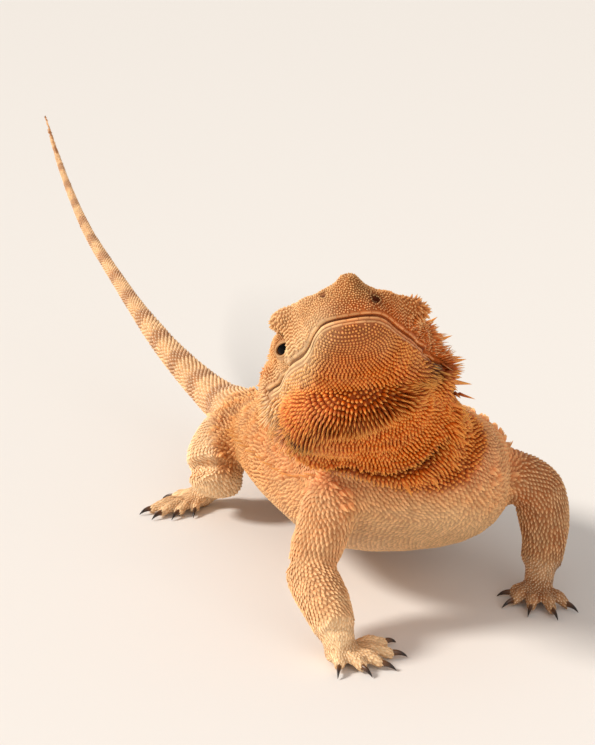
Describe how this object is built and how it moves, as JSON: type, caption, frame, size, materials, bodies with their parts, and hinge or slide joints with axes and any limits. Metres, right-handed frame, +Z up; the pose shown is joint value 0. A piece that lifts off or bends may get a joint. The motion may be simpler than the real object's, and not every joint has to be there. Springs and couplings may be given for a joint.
{
  "type": "life-size bearded dragon still model",
  "caption": "Bearded dragon lizard standing on four feet with its head raised and turned, spiny beard and flanks, and a long tail held up behind; a still display model.",
  "frame": {"origin": "middle of the overall box in plan, on the floor under the feet", "axes": "+Z up from the floor; the trunk lies along Y with the head towards -Y and the tail towards +Y; -X is the animal's right"},
  "size_m": [0.0932, 0.421, 0.1052],
  "materials": {
    "skin": "matte keeled scales, tan and orange",
    "skin_beard": "matte beaded scales, deep orange with pale tips",
    "skin_pale": "matte keeled scales, pale peach with soft bands",
    "claw": "smooth dark horn",
    "eye": "wet gloss, near black"
  },
  "bodies": {
    "root": {"claw_front_left_1": "claw", "claw_front_left_2": "claw", "claw_front_left_3": "claw", "claw_front_left_4": "claw", "claw_front_left_5": "claw", "claw_front_right_1": "claw", "claw_front_right_2": "claw", "claw_front_right_3": "claw", "claw_front_right_4": "claw", "claw_front_right_5": "claw", "claw_hind_left_1": "claw", "claw_hind_left_2": "claw", "claw_hind_left_3": "claw", "claw_hind_left_4": "claw", "claw_hind_left_5": "claw", "claw_hind_right_1": "claw", "claw_hind_right_2": "claw", "claw_hind_right_3": "claw", "claw_hind_right_4": "claw", "claw_hind_right_5": "claw", "eye_left": "eye", "eye_right": "eye", "front_left_foot": "skin", "front_left_lower": "skin", "front_left_upper": "skin", "front_right_foot": "skin", "front_right_lower": "skin", "front_right_upper": "skin", "head": "skin", "hind_left_foot": "skin_pale", "hind_left_lower": "skin_pale", "hind_left_upper": "skin_pale", "hind_right_foot": "skin_pale", "hind_right_lower": "skin_pale", "hind_right_upper": "skin_pale", "lower_jaw": "skin_beard", "neck": "skin", "tail_1": "skin_pale", "tail_2": "skin_pale", "tail_3": "skin_pale", "tail_4": "skin_pale", "trunk": "skin"}
  },
  "joints": []
}
